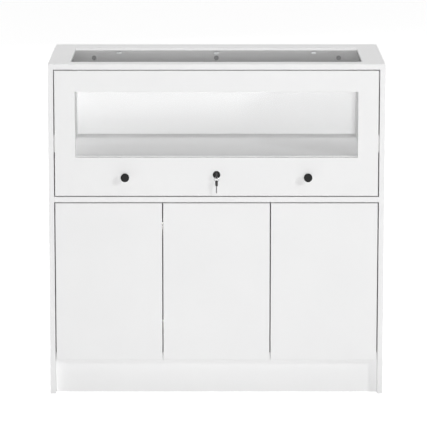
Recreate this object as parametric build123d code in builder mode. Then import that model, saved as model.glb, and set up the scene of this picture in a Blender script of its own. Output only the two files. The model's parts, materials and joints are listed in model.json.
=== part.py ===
from build123d import *
import os

os.makedirs("parts", exist_ok=True)

# Checkout counter: a free-standing cabinet with a glazed display drawer over three cupboards.
# Millimetres. X is the width, -Y is the front, +Z is up. The origin is on the floor, under the
# middle of the whole counter, knobs and keys included. A depth is measured back from the door faces.

# Overall size and boards
WIDTH = 1000
DEPTH = 500
HEIGHT = 1000
BOARD = 16
FRONT_REACH = 25
FRONT = -(DEPTH + FRONT_REACH) / 2 + FRONT_REACH
INSIDE = WIDTH / 2 - BOARD
SIDE_TOP = HEIGHT - BOARD
BACK_FACE = DEPTH - BOARD
GAP = 3
ARRIS = 0.8

# Cupboards
KICK_HEIGHT = 106
KICK_SETBACK = 25
DECK_Z = 586
DECK_TOP = DECK_Z + BOARD
BACK_JOINT_Z = DECK_Z + BOARD / 2
DOOR_Z = (104, DECK_Z - GAP)
DOOR_WIDTH = (2 * (INSIDE - GAP) - 2 * GAP) / 3
PARTITION_SETBACK = 18.5
PARTITION_X = DOOR_WIDTH / 2 + GAP

# Shelves and their pins
SHELF_Z = 344
SHELF_DEPTHS = (100, BACK_FACE - 2)
SHELF_END_PLAY = 1
PIN_RADIUS = 2.5
PIN_HOLE_DEPTH = 7
PIN_REACH = 9
PIN_DEPTHS = (130, 430)
PIN_PITCH = 32
PIN_STEPS = (-2, -1, 0, 1, 2)
PIN_PLAY = 0.1

# Top frame and its glass
TOP_OPENING_X = 434
TOP_OPENING_DEPTH = (56.5, 401)
TOP_REBATE = 10
TOP_GLASS_THICK = 5
TOP_GLASS_DROP = 7.5
TOP_GLASS_Z = HEIGHT - TOP_GLASS_DROP - TOP_GLASS_THICK
TOP_GLASS_CORNER = 2
GLASS_PLAY = 1.5

# Drawer
DRAWER_FRONT_Z = (DECK_TOP + GAP, SIDE_TOP - GAP)
WINDOW_X = 420
WINDOW_Z = (721, 917.5)
WINDOW_REBATE = 7
WINDOW_GLASS_X = 439
WINDOW_GLASS_THICK = 4
WINDOW_GLASS_PLAY = 1
DRAWER_INSIDE = 434
DRAWER_OUTSIDE = DRAWER_INSIDE + BOARD
DRAWER_Z = (694, 940)
DRAWER_BACK = 472
FLOOR_TOP = 724

# Drawer slides. A channel is its web's and its lips' distance out from the packer, and a half height.
SLIDE_THICK = 12.7
SLIDE_Z = 760
SLIDE_DEPTH = (18, 468)
SLIDE_METAL = 1.2
CABINET_CHANNEL = ((0, 10.2), 22.7)
MIDDLE_CHANNEL = ((2.4, 9.8), 19.7)
DRAWER_CHANNEL = ((SLIDE_THICK, 4.2), 16.7)
SLIDE_SCREW_DEPTHS = (60, 250, 430)
PACKER_THICK = INSIDE - DRAWER_OUTSIDE - SLIDE_THICK
PACKER_HEIGHT = 52

# Screws and glass clips
SCREW_RADIUS = 1.75
SCREW_LENGTH = 12
SCREW_HEAD_RADIUS = 3.5
SCREW_HEAD_THICK = 2
SCREW_CROSS = (4, 0.9)
SCREW_CROSS_DEPTH = 1
FLAT_HEAD_THICK = 0.6
CLIP_THICK = 1.5
CLIP_WIDTH = 14
CLIP_LENGTH = 30
CLIP_SCREW_OUT = 20
CLIP_X = (-300, 0, 300)
WINDOW_CLIP_LAP = 5
WINDOW_CLIP_REACH = 21
WINDOW_CLIP_SCREW_UP = 12

# Knobs, turned: distances back from the round face
KNOB_X = 272
KNOB_Z = 663
KNOB_RADIUS = 12.5
KNOB_BEVEL = 1.5
KNOB_RIM = 8
KNOB_FLARE_END = 14
KNOB_NECK_RADIUS = 6
KNOB_FOOT_RADIUS = 8.5
KNOB_FOOT_THICK = 3
KNOB_SCREW_RADIUS = 2
KNOB_SCREW_BITE = 10
KNOB_SCREW_PLAY = 0.5
KNOB_SCREW_HEAD_RADIUS = 4

# Lock, and the keeper: an angle on the deck that the lowered cam comes down behind
LOCK_Z = 669
LOCK_RADIUS = 9.5
LOCK_FACE_RADIUS = 11.3
LOCK_FACE_EDGE = 0.6
LOCK_FLANGE = 2
LOCK_BODY_END = 25
LOCK_NUT_FLAT = 12
LOCK_NUT_THICK = 4
PLUG_RADIUS = 6
RUNNING_PLAY = 0.08
CAM_ARM_DEPTH = (26, 28.5)
CAM_ARM_LENGTH = 33
CAM_ARM_HALF_WIDTH = 7
CAM_ARM_CORNER = 5
CAM_HUB_RADIUS = 9
CAM_SCREW_FLAT = 4
CAM_SCREW_THICK = 3
KEEPER_METAL = 2
KEEPER_DEPTH = 19
KEEPER_WIDTH = 44
KEEPER_FOOT = 22
KEEPER_TOP = 650
KEEPER_CORNER = 6
KEEPER_SCREW_X = 15
KEEPER_SCREW_DEPTH = KEEPER_DEPTH + 13.2

# Key: a vertical plate through the plug, its bow in front with the ring hole low down
KEYWAY = (1.9, 7.6)
BLADE = (1.7, 7.4)
BLADE_LENGTH = 21
BOW_THICK = 5
BOW_SIZE = 16
BOW_CORNER = 5
BOW_EDGE = 1
BOW_START = LOCK_FLANGE + 1
BOW_HOLE_REACH = 12
BOW_HOLE_DROP = 4
BOW_HOLE_RADIUS = 2.6
NOTCH_START = 5
NOTCH_PITCH = 3.6
NOTCH_RADII = (1.5, 1.1, 1.5, 1.1)

# Ring: hangs in the bow's hole, in a plane parallel to the front, with the spare key on it
RING_RADIUS = 7
RING_WIRE = 0.8
RING_REACH = BOW_START + BOW_HOLE_REACH
RING_PLAY = 1
RING_HANG = BOW_HOLE_RADIUS - RING_WIRE - RING_PLAY
RING_TOP_Z = LOCK_Z - BOW_HOLE_DROP - RING_HANG
RING_Z = RING_TOP_Z - RING_RADIUS
SPARE_HOLE_IN = 4
SPARE_HOLE_Z = RING_Z - RING_RADIUS - RING_HANG
SPARE_BOW_TOP = SPARE_HOLE_Z + SPARE_HOLE_IN
SPARE_TURN = 12

# Concealed hinges: across is measured from the door's hinged edge
PIVOT_ACROSS = 13
PIVOT_DEPTH = 7.5
HINGE_INSET = 90
HINGE_PIN_RADIUS = 1.5
PIN_HALF_LENGTH = 13.3
CUP_ACROSS = 22.5
CUP_RADIUS = 17.5
CUP_FLOOR_DEPTH = 3.2
CUP_WALL = 1
CUP_RIM = 2
CUP_FLANGE_THICK = 1.2
CUP_FLANGE_WIDTH = 20
CUP_FLANGE_HEIGHT = 60
CUP_SCREW_Z = 24
EYE_RADIUS = 3
ARM_METAL = 2.2
ARM_WIDTH = 12
ARM_BEND = 1.8
ARM_NECK_ACROSS = (12.5, 15.5)
ARM_NECK_DEPTH = (4, 20)
ARM_FOOT_DEPTH = (50, 88)
PLATE_THICK = 3
PLATE_DEPTH = (52, 84)
PLATE_HEIGHT = 48
PLATE_MARGIN = 4
PLATE_CORNER = 3
PLATE_SCREW_Z = 17

# Cam fittings
CAM_RADIUS = 7.5
CAM_DEPTH = 12.5
CAM_INSET = 25
CAM_BACK_X = 381.7
CAM_SIDE_DEPTHS = (60, 430)
CAM_PLAY = 0.1
CAM_CROSS = (9.75, 1.6)
CAM_CROSS_DEPTH = 2
BOLT_BORE = 4
BOLT_RADIUS = 3
BOLT_BITE = 11
BOLT_HEAD_IN = 1

# Push latches, each with a strike let into the back of its door
LATCH_INSET = 32
LATCH_Z = 576
LATCH_SIZE = 18
LATCH_DEPTH = (20, 82)
LATCH_CORNER = 3
PLUNGER_RADIUS = 3
PLUNGER_GAP = 0.3
PLUNGER_LENGTH = 40
PLUNGER_ROOM = 4
PLUNGER_TIP = 1
STRIKE_RADIUS = 6
STRIKE_THICK = 1

# Doors, by name: the hinged edge's X and which way the door runs from it
DOORS = {
    "left": (-(INSIDE - GAP), 1),
    "middle": (-DOOR_WIDTH / 2, 1),
    "right": (INSIDE - GAP, -1),
}
HINGE_HEIGHTS = (DOOR_Z[0] + HINGE_INSET, DOOR_Z[1] - HINGE_INSET)

# The X span of each cupboard's inside
COMPARTMENTS = {
    "left": (-INSIDE, -PARTITION_X - BOARD),
    "middle": (-PARTITION_X, PARTITION_X),
    "right": (PARTITION_X + BOARD, INSIDE),
}


def middle(span):
    return (span[0] + span[1]) / 2


def length(span):
    return span[1] - span[0]


def around(centre, half):
    return (centre - half, centre + half)


def y_at(depth):
    return FRONT + depth


def upright(depth):
    """The plane parallel to the front at this depth: local x is X, local y is Z, normal forward."""
    return Plane(origin=(0, y_at(depth), 0), x_dir=(1, 0, 0), z_dir=(0, -1, 0))


def rectangle_between(first, second, mode=Mode.ADD):
    """Fills a rectangle of the sketch in hand, from span to span."""
    with Locations((middle(first), middle(second))):
        Rectangle(length(first), length(second), mode=mode)


def slab(x_span, depth_span, z_span):
    """Adds a plain block to the part in hand."""
    with BuildSketch(Plane.XY.offset(z_span[0])) as outline:
        rectangle_between(x_span, (y_at(depth_span[0]), y_at(depth_span[1])))
    extrude(outline.sketch, amount=length(z_span))


def across(sign, span):
    """A span of X on the right (+1) or the left (-1), from two distances off the middle."""
    return tuple(sorted((sign * span[0], sign * span[1])))


def save(piece, label):
    piece.part.label = label
    export_step(piece.part, f"parts/{label}.step")


def plain_board(label, x_span, depth_span, z_span):
    with BuildPart() as piece:
        slab(x_span, depth_span, z_span)
    save(piece, label)


def pin_holes(face_x, direction):
    """Cuts two columns of shelf pin holes into a board, from one face."""
    with BuildSketch(Plane.YZ.offset(face_x)) as holes:
        for depth in PIN_DEPTHS:
            for step in PIN_STEPS:
                with Locations((y_at(depth), SHELF_Z - PIN_RADIUS + step * PIN_PITCH)):
                    Circle(PIN_RADIUS)
    extrude(holes.sketch, amount=direction * PIN_HOLE_DEPTH, mode=Mode.SUBTRACT)


def side_panel(label, sign):
    with BuildPart() as panel:
        slab(across(sign, (INSIDE, WIDTH / 2)), (0, DEPTH), (0, SIDE_TOP))
        fillet(panel.edges().filter_by(Axis.Z).group_by(Axis.Y)[0], ARRIS)
        pin_holes(sign * INSIDE, sign)
        with BuildSketch(Plane.YZ.offset(sign * INSIDE)):
            for depth in CAM_SIDE_DEPTHS:
                with Locations((y_at(depth), SIDE_TOP - CAM_INSET)):
                    Circle(CAM_RADIUS)
        extrude(amount=sign * CAM_DEPTH, mode=Mode.SUBTRACT)
        with BuildSketch(Plane.XY.offset(SIDE_TOP)):
            for depth in CAM_SIDE_DEPTHS:
                with Locations((sign * (INSIDE + BOARD / 2), y_at(depth))):
                    Circle(BOLT_BORE)
        extrude(amount=-CAM_INSET, mode=Mode.SUBTRACT)
    save(panel, label)


def level_panel(label, depth_span, z_low):
    """The deck or the bottom: cam pockets in its underside, and a bolt bore from each end."""
    with BuildPart() as panel:
        slab((-INSIDE, INSIDE), depth_span, (z_low, z_low + BOARD))
        with BuildSketch(Plane.XY.offset(z_low)):
            for sign in (-1, 1):
                for depth in CAM_SIDE_DEPTHS:
                    with Locations((sign * (INSIDE - CAM_INSET), y_at(depth))):
                        Circle(CAM_RADIUS)
        extrude(amount=CAM_DEPTH, mode=Mode.SUBTRACT)
        for sign in (-1, 1):
            with BuildSketch(Plane.YZ.offset(sign * INSIDE)):
                for depth in CAM_SIDE_DEPTHS:
                    with Locations((y_at(depth), z_low + BOARD / 2)):
                        Circle(BOLT_BORE)
            extrude(amount=-sign * CAM_INSET, mode=Mode.SUBTRACT)
    save(panel, label)


def back_panel_upper():
    """Carries three cam fittings that pull the top frame down."""
    with BuildPart() as panel:
        slab((-INSIDE, INSIDE), (BACK_FACE, DEPTH), (BACK_JOINT_Z, SIDE_TOP))
        with BuildSketch(upright(BACK_FACE)):
            for x in (-CAM_BACK_X, 0, CAM_BACK_X):
                with Locations((x, SIDE_TOP - CAM_INSET)):
                    Circle(CAM_RADIUS)
        extrude(amount=-CAM_DEPTH, mode=Mode.SUBTRACT)
        with BuildSketch(Plane.XY.offset(SIDE_TOP)):
            for x in (-CAM_BACK_X, 0, CAM_BACK_X):
                with Locations((x, y_at(DEPTH - BOARD / 2))):
                    Circle(BOLT_BORE)
        extrude(amount=-CAM_INSET, mode=Mode.SUBTRACT)
    save(panel, "back_panel_upper")


def partition(label, sign):
    with BuildPart() as panel:
        x_span = across(sign, (PARTITION_X, PARTITION_X + BOARD))
        slab(x_span, (PARTITION_SETBACK, BACK_FACE), (KICK_HEIGHT + BOARD, DECK_Z))
        with BuildSketch(Plane.XY.offset(KICK_HEIGHT + BOARD)):
            rectangle_between(x_span, (y_at(PARTITION_SETBACK), y_at(KICK_SETBACK)))
        extrude(amount=-BOARD)
        pin_holes(x_span[0], 1)
        pin_holes(x_span[1], -1)
    save(panel, label)


def cam_disc_and_bolt_planes():
    """Each cam fitting: its disc's face centre, the way out of the pocket, and the bolt's way."""
    fittings = []
    for x in (-CAM_BACK_X, 0, CAM_BACK_X):
        fittings.append(((x, y_at(BACK_FACE), SIDE_TOP - CAM_INSET), (0, -1, 0), (0, 0, 1)))
    for sign in (-1, 1):
        for depth in CAM_SIDE_DEPTHS:
            upright_face = (sign * INSIDE, y_at(depth), SIDE_TOP - CAM_INSET)
            fittings.append((upright_face, (-sign, 0, 0), (0, 0, 1)))
            for z_low in (KICK_HEIGHT, DECK_Z):
                level_face = (sign * (INSIDE - CAM_INSET), y_at(depth), z_low)
                fittings.append((level_face, (0, 0, -1), (sign, 0, 0)))
    return fittings


def cam_discs():
    """Zinc discs with a cross slot, open on the bolt's side."""
    with BuildPart() as discs:
        for face, outward, way in cam_disc_and_bolt_planes():
            seat = Plane(origin=face, x_dir=way, z_dir=outward)
            with BuildSketch(seat):
                Circle(CAM_RADIUS - CAM_PLAY)
            extrude(amount=-(CAM_DEPTH - CAM_PLAY))
            with BuildSketch(seat):
                Rectangle(*CAM_CROSS)
                Rectangle(*reversed(CAM_CROSS))
            extrude(amount=-CAM_CROSS_DEPTH, mode=Mode.SUBTRACT)
            mouth = seat.origin + seat.z_dir * (-BOARD / 2) + seat.x_dir * CAM_RADIUS
            with BuildSketch(Plane(origin=mouth, z_dir=seat.x_dir)):
                Circle(BOLT_BORE)
            extrude(amount=-CAM_RADIUS, mode=Mode.SUBTRACT)
    save(discs, "cam_discs")


def cam_bolts():
    """Steel dowels from each cam into the board it pulls."""
    with BuildPart() as bolts:
        for face, outward, way in cam_disc_and_bolt_planes():
            seat = Plane(origin=face, x_dir=way, z_dir=outward)
            start = seat.origin + seat.z_dir * (-BOARD / 2) + seat.x_dir * BOLT_HEAD_IN
            with BuildSketch(Plane(origin=start, z_dir=seat.x_dir)):
                Circle(BOLT_RADIUS)
            extrude(amount=CAM_INSET - BOLT_HEAD_IN + BOLT_BITE)
    save(bolts, "cam_bolts")


def top_frame():
    opening_y = tuple(y_at(depth) for depth in TOP_OPENING_DEPTH)
    with BuildPart() as frame:
        with BuildSketch(Plane.XY.offset(SIDE_TOP)):
            rectangle_between((-WIDTH / 2, WIDTH / 2), (y_at(0), y_at(DEPTH)))
            rectangle_between((-TOP_OPENING_X, TOP_OPENING_X), opening_y, mode=Mode.SUBTRACT)
        extrude(amount=BOARD)
        fillet(frame.edges().group_by(Axis.Z)[-1], ARRIS)
        with BuildSketch(Plane.XY.offset(SIDE_TOP)):
            ledge_x = TOP_OPENING_X + TOP_REBATE
            ledge_y = (opening_y[0] - TOP_REBATE, opening_y[1] + TOP_REBATE)
            rectangle_between((-ledge_x, ledge_x), ledge_y)
        extrude(amount=BOARD - TOP_GLASS_DROP, mode=Mode.SUBTRACT)
    save(frame, "top_frame")


def top_glass():
    with BuildPart() as glass:
        reach = TOP_REBATE - GLASS_PLAY
        slab(
            (-TOP_OPENING_X - reach, TOP_OPENING_X + reach),
            (TOP_OPENING_DEPTH[0] - reach, TOP_OPENING_DEPTH[1] + reach),
            (TOP_GLASS_Z, TOP_GLASS_Z + TOP_GLASS_THICK),
        )
        fillet(glass.edges().filter_by(Axis.Z), TOP_GLASS_CORNER)
    save(glass, "top_glass")


def top_clip_places():
    """Middle of each glass edge stretch that a clip holds, and the way out from the glass."""
    front, back = (y_at(depth) for depth in TOP_OPENING_DEPTH)
    places = []
    for x in CLIP_X:
        places.append(((x, front), (0, -1)))
        places.append(((x, back), (0, 1)))
    for sign in (-1, 1):
        places.append(((sign * TOP_OPENING_X, (front + back) / 2), (sign, 0)))
    return places


def top_glass_clips():
    """Joggled clips under the frame: the pad bears on the glass, the plate lies on the board."""
    with BuildPart() as clips:
        for (x, y), (out_x, out_y) in top_clip_places():
            seat = Plane(origin=(x, y, SIDE_TOP), x_dir=(out_x, out_y, 0), z_dir=(0, 0, -1))
            with BuildSketch(seat):
                rectangle_between((0, CLIP_LENGTH), (-CLIP_WIDTH / 2, CLIP_WIDTH / 2))
            extrude(amount=CLIP_THICK)
            with BuildSketch(seat):
                rectangle_between((0, TOP_REBATE - GLASS_PLAY), (-CLIP_WIDTH / 2, CLIP_WIDTH / 2))
            extrude(amount=-(TOP_GLASS_Z - SIDE_TOP))
            with BuildSketch(seat.offset(CLIP_THICK)):
                with Locations((CLIP_SCREW_OUT, 0)):
                    Circle(SCREW_RADIUS)
            extrude(amount=-CLIP_THICK, mode=Mode.SUBTRACT)
    save(clips, "top_glass_clips")


def screw(head_seat):
    """Adds a pan-head screw to the part in hand: its head on the plane, its shank into the board."""
    with BuildSketch(head_seat) as head:
        Circle(SCREW_HEAD_RADIUS)
    extrude(head.sketch, amount=SCREW_HEAD_THICK)
    with BuildSketch(head_seat) as shank:
        Circle(SCREW_RADIUS)
    extrude(shank.sketch, amount=-SCREW_LENGTH)
    with BuildSketch(head_seat.offset(SCREW_HEAD_THICK)) as cross:
        Rectangle(*SCREW_CROSS)
        Rectangle(*reversed(SCREW_CROSS))
    extrude(cross.sketch, amount=-SCREW_CROSS_DEPTH, mode=Mode.SUBTRACT)


def screw_flat(head_seat):
    """Adds a low-head screw that the sliding members pass over."""
    with BuildSketch(head_seat) as head:
        Circle(SCREW_HEAD_RADIUS)
    extrude(head.sketch, amount=FLAT_HEAD_THICK)
    with BuildSketch(head_seat) as shank:
        Circle(SCREW_RADIUS)
    extrude(shank.sketch, amount=-SCREW_LENGTH)


def screw_dome(head_seat):
    """Adds the low head of a cup screw to the flange it holds."""
    with BuildSketch(head_seat) as head:
        Circle(SCREW_HEAD_RADIUS)
    extrude(head.sketch, amount=SCREW_HEAD_THICK)


def hinge_seat(hinged_x, way, z):
    """The flat plane through a hinge's middle: local x runs from the door's edge, local y is depth."""
    return Plane(origin=(hinged_x, y_at(0), z), x_dir=(way, 0, 0), z_dir=(0, 0, way))


def hinge_arms():
    """Goose-neck arms: an eye on the pivot, a neck out of the cup and a foot on the plate."""
    foot = -GAP + PLATE_THICK + ARM_METAL / 2
    neck_near, neck_far = (PIVOT_ACROSS + reach for reach in ARM_NECK_ACROSS)
    with BuildPart() as arms:
        for hinged_x, way in DOORS.values():
            for z in HINGE_HEIGHTS:
                seat = hinge_seat(hinged_x, way, z)
                with BuildSketch(seat):
                    with BuildLine():
                        FilletPolyline(
                            (PIVOT_ACROSS, PIVOT_DEPTH),
                            (neck_near, PIVOT_DEPTH),
                            (neck_far, PIVOT_DEPTH + ARM_NECK_DEPTH[0]),
                            (neck_far, PIVOT_DEPTH + ARM_NECK_DEPTH[1]),
                            (foot, ARM_FOOT_DEPTH[0]),
                            (foot, ARM_FOOT_DEPTH[1]),
                            radius=ARM_BEND,
                        )
                        offset(amount=ARM_METAL / 2)
                    make_face()
                    with Locations((PIVOT_ACROSS, PIVOT_DEPTH)):
                        Circle(EYE_RADIUS)
                        Circle(HINGE_PIN_RADIUS + RUNNING_PLAY, mode=Mode.SUBTRACT)
                extrude(amount=ARM_WIDTH / 2, both=True)
    save(arms, "hinge_arms")


def hinge_plates():
    """Cross plates on the side panels and the left partition."""
    with BuildPart() as plates:
        for hinged_x, way in DOORS.values():
            for z in HINGE_HEIGHTS:
                board_face = Plane(
                    origin=(hinged_x - way * GAP, y_at(middle(PLATE_DEPTH)), z),
                    x_dir=(0, 1, 0),
                    z_dir=(way, 0, 0),
                )
                with BuildSketch(board_face):
                    RectangleRounded(length(PLATE_DEPTH), ARM_WIDTH + PLATE_MARGIN, PLATE_CORNER)
                    SlotOverall(PLATE_HEIGHT, ARM_WIDTH, rotation=90)
                extrude(amount=PLATE_THICK)
    save(plates, "hinge_plates")


def cabinet_screws():
    """Screws of the glass clips, hinge plates, hinge arms, drawer slides and lock keeper."""
    with BuildPart() as screws:
        for (x, y), (out_x, out_y) in top_clip_places():
            at = (x + out_x * CLIP_SCREW_OUT, y + out_y * CLIP_SCREW_OUT, SIDE_TOP - CLIP_THICK)
            screw(Plane(origin=at, z_dir=(0, 0, -1)))
        for hinged_x, way in DOORS.values():
            for z in HINGE_HEIGHTS:
                face_x = hinged_x - way * (GAP - PLATE_THICK)
                for step in (-PLATE_SCREW_Z, 0, PLATE_SCREW_Z):
                    lift = way * ARM_METAL if step == 0 else 0
                    at = (face_x + lift, y_at(middle(PLATE_DEPTH)), z + step)
                    screw(Plane(origin=at, z_dir=(way, 0, 0)))
        for sign in (-1, 1):
            for depth in SLIDE_SCREW_DEPTHS:
                at = (sign * (INSIDE - PACKER_THICK - SLIDE_METAL), y_at(depth), SLIDE_Z)
                screw_flat(Plane(origin=at, z_dir=(-sign, 0, 0)))
        for x in (-KEEPER_SCREW_X, KEEPER_SCREW_X):
            at = (x, y_at(KEEPER_SCREW_DEPTH), DECK_TOP + KEEPER_METAL)
            screw(Plane(origin=at, z_dir=(0, 0, 1)))
    save(screws, "cabinet_screws")


def shelf_pins():
    with BuildPart() as pins:
        for x_low, x_high in COMPARTMENTS.values():
            for depth in PIN_DEPTHS:
                for face_x, way in ((x_low, 1), (x_high, -1)):
                    with BuildSketch(Plane.YZ.offset(face_x - way * (PIN_HOLE_DEPTH - PIN_PLAY))):
                        with Locations((y_at(depth), SHELF_Z - PIN_RADIUS)):
                            Circle(PIN_RADIUS - PIN_PLAY / 2)
                    extrude(amount=way * (PIN_HOLE_DEPTH - PIN_PLAY))
                    with BuildSketch(Plane.YZ.offset(face_x)):
                        with Locations((y_at(depth), SHELF_Z - PIN_RADIUS)):
                            Circle(PIN_RADIUS)
                    extrude(amount=way * PIN_REACH)
    save(pins, "shelf_pins")


def slide_members(label, channel):
    """A pair of folded channels, one on each side of the drawer."""
    (web, lip), half_height = channel
    inward = SLIDE_METAL if lip > web else -SLIDE_METAL
    packer_face = INSIDE - PACKER_THICK
    with BuildPart() as members:
        for sign in (-1, 1):
            outer_x = across(sign, (packer_face - web, packer_face - lip))
            hollow_x = across(sign, (packer_face - web - inward, packer_face - lip))
            with BuildSketch(upright(SLIDE_DEPTH[0])):
                rectangle_between(outer_x, around(SLIDE_Z, half_height))
                rectangle_between(hollow_x, around(SLIDE_Z, half_height - SLIDE_METAL), mode=Mode.SUBTRACT)
            extrude(amount=-length(SLIDE_DEPTH))
    save(members, label)


def slide_packers():
    with BuildPart() as packers:
        for sign in (-1, 1):
            slab(
                across(sign, (INSIDE - PACKER_THICK, INSIDE)),
                SLIDE_DEPTH,
                around(SLIDE_Z, PACKER_HEIGHT / 2),
            )
    save(packers, "slide_packers")


def lock_keeper():
    with BuildPart() as keeper:
        x_span = (-KEEPER_WIDTH / 2, KEEPER_WIDTH / 2)
        slab(x_span, (KEEPER_DEPTH, KEEPER_DEPTH + KEEPER_METAL), (DECK_TOP, KEEPER_TOP))
        slab(x_span, (KEEPER_DEPTH, KEEPER_DEPTH + KEEPER_FOOT), (DECK_TOP, DECK_TOP + KEEPER_METAL))
        corners = keeper.edges().filter_by(Axis.Y).group_by(Axis.Z)[-1]
        fillet(corners, KEEPER_CORNER)
    save(keeper, "lock_keeper")


def latch_x(name):
    hinged_x, way = DOORS[name]
    return hinged_x + way * (DOOR_WIDTH - LATCH_INSET)


def latch_housings():
    """Push-to-open latches under the deck, each bored for its plunger."""
    with BuildPart() as housings:
        for name in DOORS:
            x = latch_x(name)
            slab(
                (x - LATCH_SIZE / 2, x + LATCH_SIZE / 2),
                LATCH_DEPTH,
                (LATCH_Z - LATCH_SIZE / 2, DECK_Z),
            )
        fillet(housings.edges().filter_by(Axis.Y).group_by(Axis.Z)[0], LATCH_CORNER)
        with BuildSketch(upright(LATCH_DEPTH[0])):
            for name in DOORS:
                with Locations((latch_x(name), LATCH_Z)):
                    Circle(PLUNGER_RADIUS + RUNNING_PLAY)
        extrude(amount=-(PLUNGER_LENGTH + PLUNGER_ROOM), mode=Mode.SUBTRACT)
    save(housings, "latch_housings")


def latch_plunger(name):
    tip = BOARD + PLUNGER_GAP
    with BuildPart() as plunger:
        with BuildSketch(upright(tip)):
            with Locations((latch_x(name), LATCH_Z)):
                Circle(PLUNGER_RADIUS)
        extrude(amount=-PLUNGER_LENGTH)
        fillet(plunger.edges().filter_by(GeomType.CIRCLE).group_by(Axis.Y)[0], PLUNGER_TIP)
    save(plunger, f"latch_plunger_{name}")


def door(name):
    """One door: a board with two hinge cup bores and a shallow seat for the latch strike."""
    hinged_x, way = DOORS[name]
    x_span = tuple(sorted((hinged_x, hinged_x + way * DOOR_WIDTH)))
    with BuildPart() as leaf:
        slab(x_span, (0, BOARD), DOOR_Z)
        fillet(leaf.faces().sort_by(Axis.Y)[0].edges(), ARRIS)
        with BuildSketch(upright(BOARD)):
            for z in HINGE_HEIGHTS:
                with Locations((hinged_x + way * CUP_ACROSS, z)):
                    Circle(CUP_RADIUS)
        extrude(amount=BOARD - CUP_FLOOR_DEPTH, mode=Mode.SUBTRACT)
        with BuildSketch(upright(BOARD)):
            with Locations((latch_x(name), LATCH_Z)):
                Circle(STRIKE_RADIUS)
        extrude(amount=STRIKE_THICK, mode=Mode.SUBTRACT)
    save(leaf, f"door_{name}")


def door_strike(name):
    with BuildPart() as strike:
        with BuildSketch(upright(BOARD)):
            with Locations((latch_x(name), LATCH_Z)):
                Circle(STRIKE_RADIUS)
        extrude(amount=STRIKE_THICK)
    save(strike, f"door_strike_{name}")


def hinge_cups(name):
    """Pressed cups with a screw flange, each with the hinge pin riveted across it."""
    hinged_x, way = DOORS[name]
    with BuildPart() as cups:
        for z in HINGE_HEIGHTS:
            centre = (hinged_x + way * CUP_ACROSS, z)
            with BuildSketch(upright(CUP_FLOOR_DEPTH)):
                with Locations(centre):
                    Circle(CUP_RADIUS)
            extrude(amount=-(BOARD - CUP_FLOOR_DEPTH))
            with BuildSketch(upright(BOARD)):
                with Locations(centre):
                    Circle(CUP_RADIUS + CUP_RIM)
                    SlotOverall(CUP_FLANGE_HEIGHT, CUP_FLANGE_WIDTH, rotation=90)
            extrude(amount=-CUP_FLANGE_THICK)
            with BuildSketch(upright(CUP_FLOOR_DEPTH + CUP_WALL)):
                with Locations(centre):
                    Circle(CUP_RADIUS - CUP_WALL)
            extrude(amount=-BOARD, mode=Mode.SUBTRACT)
            with BuildSketch(Plane.XY.offset(z - PIN_HALF_LENGTH)):
                with Locations((hinged_x + way * PIVOT_ACROSS, y_at(PIVOT_DEPTH))):
                    Circle(HINGE_PIN_RADIUS)
            extrude(amount=2 * PIN_HALF_LENGTH)
            for step in (-CUP_SCREW_Z, CUP_SCREW_Z):
                screw_dome(Plane(
                    origin=(centre[0], y_at(BOARD + CUP_FLANGE_THICK), z + step),
                    z_dir=(0, 1, 0),
                ))
    save(cups, f"hinge_cups_{name}")


def drawer_front():
    """The display front: a window with a rear rebate, and holes for the lock and knob screws."""
    rebate_x = WINDOW_GLASS_X + WINDOW_GLASS_PLAY
    rebate_out = WINDOW_REBATE + WINDOW_GLASS_PLAY
    with BuildPart() as panel:
        with BuildSketch(upright(0)):
            rectangle_between((-(INSIDE - GAP), INSIDE - GAP), DRAWER_FRONT_Z)
            rectangle_between((-WINDOW_X, WINDOW_X), WINDOW_Z, mode=Mode.SUBTRACT)
        extrude(amount=-BOARD)
        fillet(panel.faces().sort_by(Axis.Y)[0].edges(), ARRIS)
        with BuildSketch(upright(BOARD)):
            rectangle_between(
                (-rebate_x, rebate_x),
                (WINDOW_Z[0] - rebate_out, WINDOW_Z[1] + rebate_out),
            )
        extrude(amount=WINDOW_GLASS_THICK, mode=Mode.SUBTRACT)
        with BuildSketch(upright(BOARD)):
            with Locations((0, LOCK_Z)):
                Circle(LOCK_RADIUS)
            with Locations((-KNOB_X, KNOB_Z), (KNOB_X, KNOB_Z)):
                Circle(KNOB_SCREW_RADIUS + KNOB_SCREW_PLAY)
        extrude(amount=BOARD, mode=Mode.SUBTRACT)
    save(panel, "drawer_front")


def window_glass():
    with BuildPart() as glass:
        with BuildSketch(upright(BOARD)):
            rectangle_between(
                (-WINDOW_GLASS_X, WINDOW_GLASS_X),
                (WINDOW_Z[0] - WINDOW_REBATE, WINDOW_Z[1] + WINDOW_REBATE),
            )
        extrude(amount=WINDOW_GLASS_THICK)
    save(glass, "window_glass")


def window_clips():
    """Flat clips that hold the glass along the window's top; floor and sides hold it elsewhere."""
    edge_z = WINDOW_Z[1] + WINDOW_REBATE
    z_span = (edge_z - WINDOW_CLIP_LAP, edge_z + WINDOW_CLIP_REACH)
    with BuildPart() as clips:
        with BuildSketch(upright(BOARD)):
            for x in CLIP_X:
                rectangle_between((x - CLIP_WIDTH / 2, x + CLIP_WIDTH / 2), z_span)
                with Locations((x, edge_z + WINDOW_CLIP_SCREW_UP)):
                    Circle(SCREW_RADIUS, mode=Mode.SUBTRACT)
        extrude(amount=-CLIP_THICK)
    save(clips, "window_clips")


def drawer_screws():
    """Screws of the window clips and of the drawer slide members."""
    clip_screw_z = WINDOW_Z[1] + WINDOW_REBATE + WINDOW_CLIP_SCREW_UP
    with BuildPart() as screws:
        for x in CLIP_X:
            at = (x, y_at(BOARD + CLIP_THICK), clip_screw_z)
            screw(Plane(origin=at, z_dir=(0, 1, 0)))
        for sign in (-1, 1):
            for depth in SLIDE_SCREW_DEPTHS:
                at = (sign * (DRAWER_OUTSIDE + SLIDE_METAL), y_at(depth), SLIDE_Z)
                screw_flat(Plane(origin=at, z_dir=(sign, 0, 0)))
    save(screws, "drawer_screws")


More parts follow.
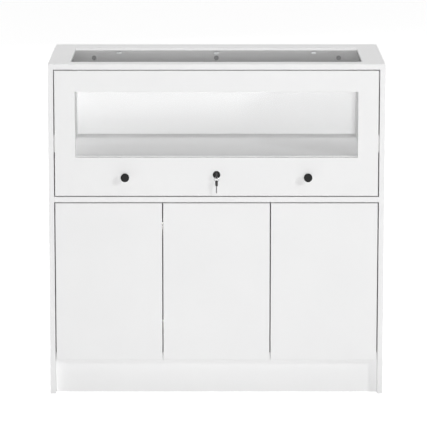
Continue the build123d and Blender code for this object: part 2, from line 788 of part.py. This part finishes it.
def knobs():
    """Turned knobs: a neck that flares to a flat round face."""
    with BuildPart() as pair:
        for x in (-KNOB_X, KNOB_X):
            axis = Plane(origin=(x, y_at(0), KNOB_Z), x_dir=(1, 0, 0), z_dir=(0, 0, 1))
            with BuildSketch(axis):
                with BuildLine():
                    Polyline(
                        (0, -FRONT_REACH),
                        (KNOB_RADIUS - KNOB_BEVEL, -FRONT_REACH),
                        (KNOB_RADIUS, -FRONT_REACH + KNOB_BEVEL),
                        (KNOB_RADIUS, -FRONT_REACH + KNOB_RIM),
                        (KNOB_NECK_RADIUS, -FRONT_REACH + KNOB_FLARE_END),
                        (KNOB_NECK_RADIUS, -KNOB_FOOT_THICK),
                        (KNOB_FOOT_RADIUS, 0),
                        (0, 0),
                        close=True,
                    )
                make_face()
            revolve(axis=Axis((x, y_at(0), KNOB_Z), (0, 1, 0)))
        with BuildSketch(upright(0)):
            with Locations((-KNOB_X, KNOB_Z), (KNOB_X, KNOB_Z)):
                Circle(KNOB_SCREW_RADIUS)
        extrude(amount=KNOB_SCREW_BITE, mode=Mode.SUBTRACT)
    save(pair, "knobs")


def knob_screws():
    with BuildPart() as screws:
        for x in (-KNOB_X, KNOB_X):
            seat = Plane(origin=(x, y_at(BOARD), KNOB_Z), z_dir=(0, 1, 0))
            with BuildSketch(seat):
                Circle(KNOB_SCREW_HEAD_RADIUS)
            extrude(amount=SCREW_HEAD_THICK)
            with BuildSketch(seat):
                Circle(KNOB_SCREW_RADIUS)
            extrude(amount=-(BOARD + KNOB_SCREW_BITE))
    save(screws, "knob_screws")


def lock_body():
    with BuildPart() as housing:
        with BuildSketch(upright(0)):
            with Locations((0, LOCK_Z)):
                Circle(LOCK_FACE_RADIUS)
        extrude(amount=LOCK_FLANGE)
        fillet(housing.edges().group_by(Axis.Y)[0], LOCK_FACE_EDGE)
        with BuildSketch(upright(0)):
            with Locations((0, LOCK_Z)):
                Circle(LOCK_RADIUS)
        extrude(amount=-LOCK_BODY_END)
        with BuildSketch(upright(-LOCK_FLANGE)):
            with Locations((0, LOCK_Z)):
                Circle(PLUG_RADIUS + RUNNING_PLAY)
        extrude(amount=-(LOCK_FLANGE + LOCK_BODY_END), mode=Mode.SUBTRACT)
    save(housing, "lock_body")


def lock_nut():
    with BuildPart() as nut:
        with BuildSketch(upright(BOARD)):
            with Locations((0, LOCK_Z)):
                RegularPolygon(LOCK_NUT_FLAT, 6, major_radius=False)
                Circle(LOCK_RADIUS, mode=Mode.SUBTRACT)
        extrude(amount=-LOCK_NUT_THICK)
    save(nut, "lock_nut")


def lock_plug():
    with BuildPart() as plug:
        with BuildSketch(upright(-LOCK_FLANGE)):
            with Locations((0, LOCK_Z)):
                Circle(PLUG_RADIUS)
        extrude(amount=-(LOCK_FLANGE + CAM_ARM_DEPTH[0]))
        with BuildSketch(upright(-LOCK_FLANGE)):
            with Locations((0, LOCK_Z)):
                Rectangle(*KEYWAY)
        extrude(amount=-(BLADE_LENGTH + 1), mode=Mode.SUBTRACT)
    save(plug, "lock_plug")


def lock_cam():
    """The steel arm on the plug's end, level when unlocked."""
    with BuildPart() as cam:
        with BuildSketch(upright(CAM_ARM_DEPTH[0])):
            with Locations((0, LOCK_Z)):
                Circle(CAM_HUB_RADIUS)
            rectangle_between((0, CAM_ARM_LENGTH), around(LOCK_Z, CAM_ARM_HALF_WIDTH))
        extrude(amount=-length(CAM_ARM_DEPTH))
        fillet(cam.edges().filter_by(Axis.Y).group_by(Axis.X)[-1], CAM_ARM_CORNER)
    save(cam, "lock_cam")


def lock_cam_screw():
    with BuildPart() as bolt:
        with BuildSketch(upright(CAM_ARM_DEPTH[1])):
            with Locations((0, LOCK_Z)):
                RegularPolygon(CAM_SCREW_FLAT, 6, major_radius=False)
        extrude(amount=-CAM_SCREW_THICK)
    save(bolt, "lock_cam_screw")


def key_plane(reach):
    """The key's own plane, level with the lock: local x is forward of the front, local y is up."""
    return Plane(origin=(0, y_at(-reach), LOCK_Z), x_dir=(0, -1, 0), z_dir=(-1, 0, 0))


def key_blade():
    with BuildPart() as blade:
        with BuildSketch(upright(-BOW_START)):
            with Locations((0, LOCK_Z)):
                Rectangle(*BLADE)
        extrude(amount=-(BLADE_LENGTH + BOW_START - LOCK_FLANGE))
    save(blade, "key_blade")


def bow(label, plane, hole_at):
    """A moulded key grip: a rounded plate with a hole for the ring."""
    with BuildPart() as grip:
        with BuildSketch(plane):
            with Locations((BOW_SIZE / 2, 0)):
                RectangleRounded(BOW_SIZE, BOW_SIZE, BOW_CORNER)
        extrude(amount=BOW_THICK / 2, both=True)
        fillet(grip.faces().filter_by(Axis((0, 0, 0), plane.z_dir)).edges(), BOW_EDGE)
        with BuildSketch(plane):
            with Locations(hole_at):
                Circle(BOW_HOLE_RADIUS)
        extrude(amount=BOW_THICK, both=True, mode=Mode.SUBTRACT)
    save(grip, label)


def key_ring():
    with BuildPart() as ring:
        wire_centre = Plane(origin=(0, y_at(-RING_REACH), RING_Z), z_dir=(0, 1, 0))
        section_at = Plane(origin=(RING_RADIUS, y_at(-RING_REACH), RING_Z), z_dir=(0, 0, 1))
        with BuildSketch(section_at):
            Circle(RING_WIRE)
        revolve(axis=Axis(wire_centre.origin, wire_centre.z_dir))
    save(ring, "key_ring")


def spare_plane():
    """The hanging key's own plane, turned a little: local x runs down from the top of its bow."""
    normal = Vector(-1, 0, 0).rotate(Axis.Z, SPARE_TURN)
    return Plane(origin=(0, y_at(-RING_REACH), SPARE_BOW_TOP), x_dir=(0, 0, -1), z_dir=normal)


def spare_key_blade():
    plane = spare_plane()
    with BuildPart() as blade:
        with BuildSketch(plane):
            rectangle_between((BOW_SIZE, BOW_SIZE + BLADE_LENGTH), (-BLADE[1] / 2, BLADE[1] / 2))
            for notch, radius in enumerate(NOTCH_RADII):
                with Locations((BOW_SIZE + NOTCH_START + notch * NOTCH_PITCH, BLADE[1] / 2)):
                    Circle(radius, mode=Mode.SUBTRACT)
        extrude(amount=BLADE[0] / 2, both=True)
    save(blade, "spare_key_blade")


side_panel("side_panel_left", -1)
side_panel("side_panel_right", 1)
level_panel("deck_panel", (0, BACK_FACE), DECK_Z)
level_panel("bottom_panel", (KICK_SETBACK, BACK_FACE), KICK_HEIGHT)
plain_board("toe_kick", (-INSIDE, INSIDE), (KICK_SETBACK, KICK_SETBACK + BOARD), (0, KICK_HEIGHT))
back_panel_upper()
plain_board("back_panel_lower", (-INSIDE, INSIDE), (BACK_FACE, DEPTH), (0, BACK_JOINT_Z))
partition("partition_left", -1)
partition("partition_right", 1)
top_frame()
top_glass()
top_glass_clips()
cam_discs()
cam_bolts()
for compartment, (low, high) in COMPARTMENTS.items():
    shelf_x = (low + SHELF_END_PLAY, high - SHELF_END_PLAY)
    plain_board(f"shelf_{compartment}", shelf_x, SHELF_DEPTHS, (SHELF_Z, SHELF_Z + BOARD))
shelf_pins()
slide_packers()
slide_members("slide_cabinet_members", CABINET_CHANNEL)
slide_members("slide_middle_members", MIDDLE_CHANNEL)
slide_members("slide_drawer_members", DRAWER_CHANNEL)
hinge_arms()
hinge_plates()
cabinet_screws()
lock_keeper()
latch_housings()
for door_name in DOORS:
    door(door_name)
    door_strike(door_name)
    hinge_cups(door_name)
    latch_plunger(door_name)
drawer_front()
window_glass()
window_clips()
drawer_screws()
for side_name, side_sign in (("left", -1), ("right", 1)):
    side_x = across(side_sign, (DRAWER_INSIDE, DRAWER_OUTSIDE))
    plain_board(f"drawer_side_{side_name}", side_x, (BOARD, DRAWER_BACK), DRAWER_Z)
drawer_x = (-DRAWER_INSIDE, DRAWER_INSIDE)
plain_board("drawer_back", drawer_x, (DRAWER_BACK - BOARD, DRAWER_BACK), DRAWER_Z)
plain_board("display_floor", drawer_x, (BOARD, DRAWER_BACK - BOARD), (FLOOR_TOP - BOARD, FLOOR_TOP))
knobs()
knob_screws()
lock_body()
lock_nut()
lock_plug()
lock_cam()
lock_cam_screw()
key_blade()
bow("key_bow", key_plane(BOW_START), (BOW_HOLE_REACH, -BOW_HOLE_DROP))
key_ring()
bow("spare_key_bow", spare_plane(), (SPARE_HOLE_IN, 0))
spare_key_blade()
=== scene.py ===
import bpy
import json
import math
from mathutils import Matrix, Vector


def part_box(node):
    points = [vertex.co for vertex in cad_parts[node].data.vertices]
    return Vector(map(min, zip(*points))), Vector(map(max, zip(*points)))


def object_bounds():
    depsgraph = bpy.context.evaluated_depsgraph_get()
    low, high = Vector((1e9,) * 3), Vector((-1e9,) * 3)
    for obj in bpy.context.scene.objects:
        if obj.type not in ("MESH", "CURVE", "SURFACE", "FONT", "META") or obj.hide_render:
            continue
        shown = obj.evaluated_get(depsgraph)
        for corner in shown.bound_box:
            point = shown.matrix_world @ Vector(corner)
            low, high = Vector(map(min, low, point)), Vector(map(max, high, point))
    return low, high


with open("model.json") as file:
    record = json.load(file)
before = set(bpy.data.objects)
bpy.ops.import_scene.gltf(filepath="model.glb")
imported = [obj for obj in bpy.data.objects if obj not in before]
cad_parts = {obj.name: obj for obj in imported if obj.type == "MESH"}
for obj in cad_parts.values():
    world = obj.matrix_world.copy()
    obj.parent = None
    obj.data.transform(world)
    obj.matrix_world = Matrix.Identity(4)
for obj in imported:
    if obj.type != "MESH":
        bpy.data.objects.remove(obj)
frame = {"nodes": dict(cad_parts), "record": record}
cad_low, cad_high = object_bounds()
nodes = frame["nodes"]
MM = 0.001

# The plane of the doors and the drawer front, where the side panels' front edges are
FRONT_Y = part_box("side_panel_left")[0].y


# ---------------------------------------------------------------- node helpers

# The range that most of a noise texture's values lie in
NOISE_LOW, NOISE_HIGH = 0.3, 0.7

# A Mix node's sockets for colours
MIX_FACTOR, MIX_FIRST, MIX_SECOND, MIX_RESULT = 0, 6, 7, 2


def grey(value):
    return (value, value, value, 1.0)


def scaled(colour, share):
    """The colour made darker or lighter, no channel above 1."""
    return tuple(min(channel * share, 1.0) for channel in colour[:3]) + (1.0,)


class Graph:
    """The node tree of a material or world, with short ways to add to it."""

    def __init__(self, tree):
        self.tree = tree
        self.nodes = tree.nodes

    def fill(self, node, inputs):
        """Sets each input to a number or colour, or links it to another node's output."""
        for name, value in inputs.items():
            if isinstance(value, (int, float, tuple)):
                node.inputs[name].default_value = value
            else:
                self.tree.links.new(value, node.inputs[name])

    def add(self, kind, inputs=None, **settings):
        node = self.nodes.new(kind)
        for name, value in settings.items():
            setattr(node, name, value)
        self.fill(node, inputs or {})
        return node

    def point(self):
        return self.add("ShaderNodeTexCoord").outputs["Object"]

    def split(self, vector):
        return self.add("ShaderNodeSeparateXYZ", {"Vector": vector}).outputs

    def math(self, operation, first, second=0.0, clamp=False):
        inputs = {0: first, 1: second}
        return self.add("ShaderNodeMath", inputs, operation=operation, use_clamp=clamp).outputs[0]

    def noise(self, vector, scale, detail=3.0, roughness=0.5):
        inputs = {"Vector": vector, "Scale": scale, "Detail": detail, "Roughness": roughness}
        return self.add("ShaderNodeTexNoise", inputs).outputs["Fac"]

    def spread(self, noise, low, high):
        """Maps a noise onto the range from low to high."""
        inputs = {"Value": noise, "From Min": NOISE_LOW, "From Max": NOISE_HIGH,
                  "To Min": low, "To Max": high}
        return self.add("ShaderNodeMapRange", inputs).outputs["Result"]

    def mix(self, factor, first, second):
        inputs = {MIX_FACTOR: factor, MIX_FIRST: first, MIX_SECOND: second}
        return self.add("ShaderNodeMix", inputs, data_type="RGBA").outputs[MIX_RESULT]

    def patches(self, noise, first, second):
        """Two colours in the noise's patches."""
        return self.mix(self.spread(noise, 0.0, 1.0), first, second)

    def bump(self, height, distance, strength, over=None):
        """A bump, on top of another one if that is given."""
        inputs = {"Height": height, "Distance": distance, "Strength": strength}
        if over is not None:
            inputs["Normal"] = over
        return self.add("ShaderNodeBump", inputs).outputs["Normal"]


def new_material(name, inputs=None):
    """A material, its graph and its Principled shader."""
    material = bpy.data.materials.new(name)
    material.use_nodes = True
    graph = Graph(material.node_tree)
    shader = graph.nodes["Principled BSDF"]
    graph.fill(shader, inputs or {})
    return material, graph, shader


# ------------------------------------------------------------ board material

BOARD_WHITE = grey(0.897)
BOARD_SHADE = (0.883, 0.883, 0.884, 1.0)
BOARD_ROUGHNESS = (0.52, 0.62)
BOARD_SPECULAR = 0.35
PEARL_BUMP = 0.05 * MM

# The seam between a board's face and its 1 mm edging
EDGING = 1.0 * MM
SEAM = 0.22 * MM
SEAM_GREY = (0.62, 0.62, 0.615, 1.0)
SEAM_SHOWS = 0.55
SEAM_BUMP = 0.12 * MM

# How squarely a surface has to face outward to count as one of the board's two large faces
FACES_OUT = 0.9

# A surface this far inside the board's box is in a bored hole, where the chips are bare
CORE_DEPTH = 1.6 * MM
CORE_ROUGHNESS = 0.9
CHIP_SCALE = 420.0
CHIP_LIGHT = (0.52, 0.36, 0.20, 1.0)
CHIP_DARK = (0.27, 0.16, 0.08, 1.0)

# The openings in these boards are coated too, so their core starts deeper than any board goes
COATED_ALL_OVER = ("drawer_front", "top_frame", "partition_left", "partition_right")
NO_CORE = 1.0


def board_material(node_name):
    """White melamine on particleboard: pearl texture, edging seams, and bare chips in bored holes."""
    low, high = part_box(node_name)
    size = high - low
    thin = min(range(3), key=lambda axis: size[axis])
    material, graph, shader = new_material(
        f"white_board_{node_name}", {"Specular IOR Level": BOARD_SPECULAR})
    point = graph.point()
    place = graph.split(point)
    from_edge = []
    for axis in range(3):
        below = graph.math("SUBTRACT", place[axis], low[axis])
        above = graph.math("SUBTRACT", high[axis], place[axis])
        from_edge.append(graph.math("MINIMUM", below, above))

    # Seams run along the edges of the two large faces only
    facing = graph.add(
        "ShaderNodeVectorTransform",
        {"Vector": graph.add("ShaderNodeNewGeometry").outputs["Normal"]},
        vector_type="NORMAL", convert_from="WORLD", convert_to="OBJECT",
    ).outputs["Vector"]
    flatness = graph.math("ABSOLUTE", graph.split(facing)[thin])
    on_face = graph.math("GREATER_THAN", flatness, FACES_OUT)
    across, along = (from_edge[axis] for axis in range(3) if axis != thin)
    nearest = graph.math("MINIMUM", across, along)
    off_seam = graph.math("ABSOLUTE", graph.math("SUBTRACT", nearest, EDGING))
    seam = graph.math("MULTIPLY", graph.math("LESS_THAN", off_seam, SEAM / 2), on_face)

    depth = graph.math("MINIMUM", graph.math("MINIMUM", from_edge[0], from_edge[1]), from_edge[2])
    bare_depth = NO_CORE if node_name in COATED_ALL_OVER else CORE_DEPTH
    core = graph.math("GREATER_THAN", depth, bare_depth)

    cloud = graph.noise(point, scale=5.0, detail=2.0)
    pearl = graph.noise(point, scale=900.0, detail=2.0, roughness=0.55)
    drift = graph.noise(point, scale=38.0)
    chips = graph.add("ShaderNodeTexVoronoi", {"Vector": point, "Scale": CHIP_SCALE}).outputs["Distance"]
    white = graph.patches(cloud, BOARD_WHITE, BOARD_SHADE)
    coat = graph.mix(graph.math("MULTIPLY", seam, SEAM_SHOWS), white, SEAM_GREY)
    chip_colour = graph.mix(chips, CHIP_LIGHT, CHIP_DARK)

    drift_half = graph.math("MULTIPLY", drift, 0.5)
    pearl_half = graph.math("MULTIPLY", pearl, 0.5)
    satin = graph.spread(graph.math("ADD", drift_half, pearl_half), *BOARD_ROUGHNESS)
    fine = graph.bump(pearl, PEARL_BUMP, strength=0.5)
    dip = graph.math("MULTIPLY", seam, -1.0)
    graph.fill(shader, {
        "Base Color": graph.mix(core, coat, chip_colour),
        "Roughness": graph.math("MAXIMUM", satin, graph.math("MULTIPLY", core, CORE_ROUGHNESS)),
        "Normal": graph.bump(dip, SEAM_BUMP, strength=0.8, over=fine),
    })
    return material


# ------------------------------------------------------------ other materials

GLASS_IOR = 1.5
FILM_ROUGHNESS = (0.015, 0.05)


def clear_glass(name, tint, mirror):
    """A pane that lets lamps through: tinted see-through, mixed with a mirror by angle."""
    material, graph, shader = new_material(name)
    graph.nodes.remove(shader)
    film = graph.noise(graph.point(), scale=9.0, detail=4.0)
    through = graph.add("ShaderNodeBsdfTransparent", {"Color": tint})
    gloss = graph.add("ShaderNodeBsdfGlossy", {
        "Color": grey(1.0), "Roughness": graph.spread(film, *FILM_ROUGHNESS)})

    # The pane's inner faces don't mirror: from inside, Fresnel takes them for total reflection
    angle = graph.add("ShaderNodeFresnel", {"IOR": GLASS_IOR}).outputs["Fac"]
    inner_face = graph.add("ShaderNodeNewGeometry").outputs["Backfacing"]
    outer_only = graph.math("SUBTRACT", mirror, graph.math("MULTIPLY", inner_face, mirror))
    share = graph.math("MULTIPLY", angle, outer_only, clamp=True)
    pane = graph.add("ShaderNodeMixShader", {0: share, 1: through.outputs[0], 2: gloss.outputs[0]})
    graph.fill(graph.nodes["Material Output"], {"Surface": pane.outputs[0]})
    return material


# Blotches are a share of the colour, and streaks a range of shares of the roughness
METAL_BLOTCH = 0.8
METAL_ROUGHNESS = (0.8, 1.3)
STREAKS_TO_BLOTCH = 10


def metal(name, colour, rough, stretch, grain=60.0, dent=0.01 * MM):
    """Plated or bare metal with a drawn grain along one axis."""
    material, graph, shader = new_material(name, {"Metallic": 1.0})
    point = graph.point()
    drawn = graph.add("ShaderNodeMapping", {"Vector": point, "Scale": stretch}).outputs["Vector"]
    streak = graph.noise(drawn, scale=grain * STREAKS_TO_BLOTCH, detail=4.0, roughness=0.6)
    blotch = graph.noise(point, scale=grain)
    smooth, coarse = METAL_ROUGHNESS
    graph.fill(shader, {
        "Base Color": graph.patches(blotch, colour, scaled(colour, METAL_BLOTCH)),
        "Roughness": graph.spread(streak, rough * smooth, rough * coarse),
        "Normal": graph.bump(streak, dent, strength=0.6),
    })
    return material


ZINC_LIGHT = (0.20, 0.20, 0.205, 1.0)
ZINC_DARK = (0.13, 0.13, 0.135, 1.0)
ZINC_METALLIC = 0.55
ZINC_ROUGHNESS = (0.5, 0.72)
ZINC_BUMP = 0.04 * MM


def cast_zinc():
    """Die-cast zinc: matt grey with a grainy skin."""
    material, graph, shader = new_material("cast_zinc", {"Metallic": ZINC_METALLIC})
    point = graph.point()
    skin = graph.noise(point, scale=1500.0, detail=4.0, roughness=0.65)
    blotch = graph.noise(point, scale=160.0)
    graph.fill(shader, {
        "Base Color": graph.patches(blotch, ZINC_LIGHT, ZINC_DARK),
        "Roughness": graph.spread(skin, *ZINC_ROUGHNESS),
        "Normal": graph.bump(skin, ZINC_BUMP, strength=0.7),
    })
    return material


POWDER_SHADES = (grey(0.004), grey(0.007))
POWDER_ROUGHNESS = (0.42, 0.54)
POWDER_SPECULAR = 0.16
PEEL_BUMP = 0.05 * MM


def powder_black():
    """Black powder coat: a fine orange peel and a satin sheen."""
    material, graph, shader = new_material("powder_black", {"Specular IOR Level": POWDER_SPECULAR})
    point = graph.point()
    peel = graph.noise(point, scale=1900.0, detail=2.0, roughness=0.4)
    blotch = graph.noise(point, scale=220.0)
    graph.fill(shader, {
        "Base Color": graph.patches(blotch, *POWDER_SHADES),
        "Roughness": graph.spread(blotch, *POWDER_ROUGHNESS),
        "Normal": graph.bump(peel, PEEL_BUMP, strength=0.6),
    })
    return material


# Shares of the colour and of the roughness, as for metal
PLASTIC_CLOUD = 1.25
PLASTIC_ROUGHNESS = (0.85, 1.15)
PLASTIC_BUMP = 0.03 * MM


def moulded(name, colour, rough):
    """Moulded plastic with a spark-eroded grain."""
    material, graph, shader = new_material(name)
    point = graph.point()
    grain = graph.noise(point, scale=2600.0, roughness=0.6)
    cloud = graph.noise(point, scale=90.0, detail=2.0)
    smooth, coarse = PLASTIC_ROUGHNESS
    graph.fill(shader, {
        "Base Color": graph.patches(cloud, colour, scaled(colour, PLASTIC_CLOUD)),
        "Roughness": graph.spread(grain, rough * smooth, rough * coarse),
        "Normal": graph.bump(grain, PLASTIC_BUMP, strength=0.6),
    })
    return material


# ---------------------------------------------------- a material for each node

# How a metal's grain is stretched
ALONG_Y = (1.0, 0.04, 1.0)
ALONG_Z = (1.0, 1.0, 0.04)
EVENLY = (1.0, 1.0, 1.0)

slot_materials = {
    "top_glass": clear_glass("top_glass", tint=grey(0.80), mirror=0.3),
    "window_glass": clear_glass("window_glass", tint=(0.996, 0.997, 0.997, 1.0), mirror=1.3),
    "plated_steel": metal("plated_steel", (0.56, 0.57, 0.59, 1.0), rough=0.30, stretch=ALONG_Y),
    "nickel_hinge": metal("nickel_hinge", (0.66, 0.65, 0.62, 1.0), rough=0.20, stretch=ALONG_Z),
    "cast_zinc": cast_zinc(),
    "key_steel": metal("key_steel", (0.20, 0.20, 0.205, 1.0), rough=0.34, stretch=ALONG_Z),
    "black_metal": powder_black(),
    "black_plastic": moulded("black_plastic", grey(0.012), rough=0.5),
    "bright_ring": metal("bright_ring", (0.74, 0.74, 0.75, 1.0), rough=0.12, stretch=EVENLY,
                         grain=120.0, dent=0.004 * MM),
    "grey_plastic": moulded("grey_plastic", grey(0.50), rough=0.45),
}
# The blades wear a darker steel than their slot's
KEY_BLADES = ("key_blade", "spare_key_blade")


def wear(node_name, material):
    """Gives a CAD node its material."""
    slots = nodes[node_name].material_slots
    if not slots:
        nodes[node_name].data.materials.append(material)
    for slot in nodes[node_name].material_slots:
        slot.material = material


for subpart in frame["record"]["subparts"]:
    node_name = subpart["node"]
    slot_name = "key_steel" if node_name in KEY_BLADES else subpart["material_slot"]
    if slot_name == "white_board":
        wear(node_name, board_material(node_name))
    else:
        wear(node_name, slot_materials[slot_name])


# ------------------------------------------------------------- camera and light

# Fitted to the straight edges in the photograph. The distance is from the front plane, and the
# focal length is a share of the sensor's width.
CAMERA_AWAY = 8.5774
CAMERA_HEIGHT = 2.0842
CAMERA_X = -0.00892
CAMERA_PITCH = math.radians(10.128)
CLIP_END = 60.0
SENSOR = 36.0
FOCAL_SHARE = 6.8412

camera_data = bpy.data.cameras.new("camera")
camera_data.sensor_width = SENSOR
camera_data.lens = SENSOR * FOCAL_SHARE
camera_data.clip_end = CLIP_END
camera = bpy.data.objects.new("camera", camera_data)
camera.location = (CAMERA_X, FRONT_Y - CAMERA_AWAY, CAMERA_HEIGHT)
camera.rotation_euler = (math.pi / 2 - CAMERA_PITCH, 0.0, 0.0)
bpy.context.scene.collection.objects.link(camera)
bpy.context.scene.camera = camera


def softbox(name, azimuth, elevation, distance, size, power):
    """A square area lamp aimed at the counter. Azimuth is to the right of straight in front."""
    turn, lift = math.radians(azimuth), math.radians(elevation)
    target = Vector((0.0, 0.0, (cad_low.z + cad_high.z) / 2))
    way = Vector((math.sin(turn) * math.cos(lift), -math.cos(turn) * math.cos(lift), math.sin(lift)))
    data = bpy.data.lights.new(name, "AREA")
    data.shape = "SQUARE"
    data.size = size
    data.energy = power
    lamp = bpy.data.objects.new(name, data)
    lamp.location = target + way * distance
    lamp.rotation_euler = (-way).to_track_quat("-Z", "Y").to_euler()
    bpy.context.scene.collection.objects.link(lamp)


softbox("front", azimuth=1, elevation=7, distance=8.5, size=0.6, power=395)
softbox("overhead", azimuth=180, elevation=85, distance=5.0, size=1.2, power=118)
softbox("key", azimuth=47, elevation=23, distance=9.0, size=1.0, power=155)
softbox("rear", azimuth=205, elevation=12, distance=8.0, size=2.0, power=150)


def studio_world():
    """White behind the counter and in its reflections. It gives no light: the lamps do that."""
    world = bpy.data.worlds.new("studio")
    world.use_nodes = True
    graph = Graph(world.node_tree)
    graph.nodes.clear()
    path = graph.add("ShaderNodeLightPath").outputs
    shown = graph.math("MAXIMUM", path["Is Camera Ray"], path["Is Glossy Ray"])
    white = graph.add("ShaderNodeBackground", {"Color": grey(1.0), "Strength": shown})
    graph.add("ShaderNodeOutputWorld", {"Surface": white.outputs[0]})
    bpy.context.scene.world = world


FLOOR_SIZE = 40.0
FLOOR_DROP = 0.2 * MM
FLOOR_SHADES = (grey(0.70), grey(0.73))
FLOOR_ROUGHNESS = 0.9
FLOOR_SPECULAR = 0.1
FLOOR_GLOW = 0.93


def studio_floor():
    """A pale floor just under the counter, which glows to the camera so that it blends into the white."""
    material, graph, shader = new_material("studio_floor", {
        "Roughness": FLOOR_ROUGHNESS, "Specular IOR Level": FLOOR_SPECULAR})
    haze = graph.noise(graph.point(), scale=3.0, detail=2.0)
    graph.fill(shader, {"Base Color": graph.mix(haze, *FLOOR_SHADES)})
    glow = graph.add("ShaderNodeEmission", {"Color": grey(1.0), "Strength": FLOOR_GLOW})
    lifted = graph.add("ShaderNodeAddShader", {0: shader.outputs[0], 1: glow.outputs[0]})
    path = graph.add("ShaderNodeLightPath").outputs
    seen = graph.add("ShaderNodeMixShader", {
        0: path["Is Camera Ray"], 1: shader.outputs[0], 2: lifted.outputs[0]})
    graph.fill(graph.nodes["Material Output"], {"Surface": seen.outputs[0]})
    bpy.ops.mesh.primitive_plane_add(size=FLOOR_SIZE, location=(0.0, 0.0, cad_low.z - FLOOR_DROP))
    floor = bpy.context.object
    floor.name = "floor"
    floor.data.materials.append(material)


studio_world()
studio_floor()
bpy.context.scene.view_settings.view_transform = "Standard"
